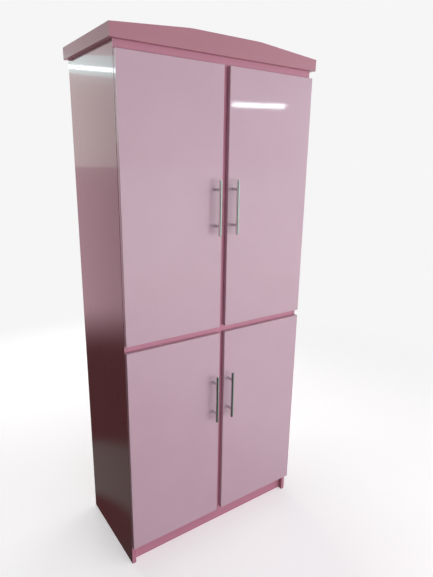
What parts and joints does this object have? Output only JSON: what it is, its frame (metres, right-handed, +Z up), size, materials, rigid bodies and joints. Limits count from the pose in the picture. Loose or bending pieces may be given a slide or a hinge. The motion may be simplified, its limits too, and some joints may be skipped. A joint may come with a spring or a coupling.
{
  "type": "four-door wardrobe cupboard",
  "caption": "Tall cupboard wardrobe of glossy pink laminated board: paired upper and lower doors on concealed hinges, bar handles, shaped cornice, recessed plinth.",
  "frame": {"origin": "on the floor, at the middle of the overall width and of the overall depth, handles included", "axes": "+Z up; the doors face -Y; +X to the right as seen from the front"},
  "size_m": [0.832, 0.456, 1.935],
  "materials": {
    "door_gloss": "high gloss pale pink laminate on board",
    "side_gloss": "gloss deep pink laminate on board",
    "cornice_laminate": "satin deep pink laminate on board",
    "carcass_laminate": "satin deep pink laminate on board",
    "shelf_laminate": "satin pink laminate on board",
    "back_board": "hardboard",
    "handle_steel": "brushed",
    "zinc_screw": "zinc plated",
    "hinge_nickel": "nickel plated",
    "hinge_pin": "bright steel",
    "cam_zinc": "die-cast zinc",
    "beech": "plain beech",
    "rail_chrome": "chromed tube",
    "socket_zinc": "satin nickel",
    "bumper": "clear soft plastic"
  },
  "bodies": {
    "carcass": {"back_nails": "zinc_screw", "bottom_panel": "carcass_laminate", "cam_bolts": "cam_zinc", "cam_locks": "cam_zinc", "centre_stiles": "carcass_laminate", "cornice_front": "cornice_laminate", "cornice_left": "cornice_laminate", "cornice_right": "cornice_laminate", "door_bumpers": "bumper", "dowels": "beech", "front_plinth": "carcass_laminate", "hanging_rail": "rail_chrome", "hinge_arm_pins": "hinge_pin", "hinge_arms": "hinge_nickel", "hinge_plates": "hinge_nickel", "left_side_panel": "side_gloss", "lower_back_panel": "back_board", "lower_divider": "carcass_laminate", "lower_left_shelf": "shelf_laminate", "lower_right_shelf": "shelf_laminate", "middle_rail": "carcass_laminate", "middle_shelf": "carcass_laminate", "rail_sockets": "socket_zinc", "rear_plinth": "carcass_laminate", "right_side_panel": "side_gloss", "shelf_pins": "zinc_screw", "top_panel": "carcass_laminate", "top_rail": "carcass_laminate", "upper_back_panel": "back_board", "upper_divider": "carcass_laminate", "upper_right_shelf": "shelf_laminate", "wood_screws": "zinc_screw"},
    "upper_left_link_set": {"upper_left_hinge_links": "hinge_nickel"},
    "upper_left_door_set": {"upper_left_door": "door_gloss", "upper_left_handle_bar": "handle_steel", "upper_left_handle_posts": "handle_steel", "upper_left_handle_screws": "zinc_screw", "upper_left_hinge_cups": "hinge_nickel", "upper_left_hinge_pins": "hinge_pin"},
    "upper_right_link_set": {"upper_right_hinge_links": "hinge_nickel"},
    "upper_right_door_set": {"upper_right_door": "door_gloss", "upper_right_handle_bar": "handle_steel", "upper_right_handle_posts": "handle_steel", "upper_right_handle_screws": "zinc_screw", "upper_right_hinge_cups": "hinge_nickel", "upper_right_hinge_pins": "hinge_pin"},
    "lower_left_link_set": {"lower_left_hinge_links": "hinge_nickel"},
    "lower_left_door_set": {"lower_left_door": "door_gloss", "lower_left_handle_bar": "handle_steel", "lower_left_handle_posts": "handle_steel", "lower_left_handle_screws": "zinc_screw", "lower_left_hinge_cups": "hinge_nickel", "lower_left_hinge_pins": "hinge_pin"},
    "lower_right_link_set": {"lower_right_hinge_links": "hinge_nickel"},
    "lower_right_door_set": {"lower_right_door": "door_gloss", "lower_right_handle_bar": "handle_steel", "lower_right_handle_posts": "handle_steel", "lower_right_handle_screws": "zinc_screw", "lower_right_hinge_cups": "hinge_nickel", "lower_right_hinge_pins": "hinge_pin"}
  },
  "joints": [
    {"name": "upper_left_link_turn", "type": "hinge", "parent": "carcass", "child": "upper_left_link_set", "pos_m": [-0.3735, -0.169, 1.3825], "axis": [0, 0, 1], "range_deg": [0, 33]},
    {"name": "upper_left_door_swing", "type": "hinge", "parent": "upper_left_link_set", "child": "upper_left_door_set", "pos_m": [-0.3905, -0.1795, 1.3825], "axis": [0, 0, -1], "range_deg": [0, 132]},
    {"name": "upper_right_link_turn", "type": "hinge", "parent": "carcass", "child": "upper_right_link_set", "pos_m": [0.3735, -0.169, 1.3825], "axis": [0, 0, -1], "range_deg": [0, 33]},
    {"name": "upper_right_door_swing", "type": "hinge", "parent": "upper_right_link_set", "child": "upper_right_door_set", "pos_m": [0.3905, -0.1795, 1.3825], "axis": [0, 0, 1], "range_deg": [0, 132]},
    {"name": "lower_left_link_turn", "type": "hinge", "parent": "carcass", "child": "lower_left_link_set", "pos_m": [-0.3735, -0.169, 0.4885], "axis": [0, 0, 1], "range_deg": [0, 33]},
    {"name": "lower_left_door_swing", "type": "hinge", "parent": "lower_left_link_set", "child": "lower_left_door_set", "pos_m": [-0.3905, -0.1795, 0.4885], "axis": [0, 0, -1], "range_deg": [0, 132]},
    {"name": "lower_right_link_turn", "type": "hinge", "parent": "carcass", "child": "lower_right_link_set", "pos_m": [0.3735, -0.169, 0.4885], "axis": [0, 0, -1], "range_deg": [0, 33]},
    {"name": "lower_right_door_swing", "type": "hinge", "parent": "lower_right_link_set", "child": "lower_right_door_set", "pos_m": [0.3905, -0.1795, 0.4885], "axis": [0, 0, 1], "range_deg": [0, 132]}
  ],
  "couplings": [
    {"joint": "upper_left_link_turn", "follows": "upper_left_door_swing", "ratio": 0.245},
    {"joint": "upper_right_link_turn", "follows": "upper_right_door_swing", "ratio": 0.245},
    {"joint": "lower_left_link_turn", "follows": "lower_left_door_swing", "ratio": 0.245},
    {"joint": "lower_right_link_turn", "follows": "lower_right_door_swing", "ratio": 0.245}
  ]
}
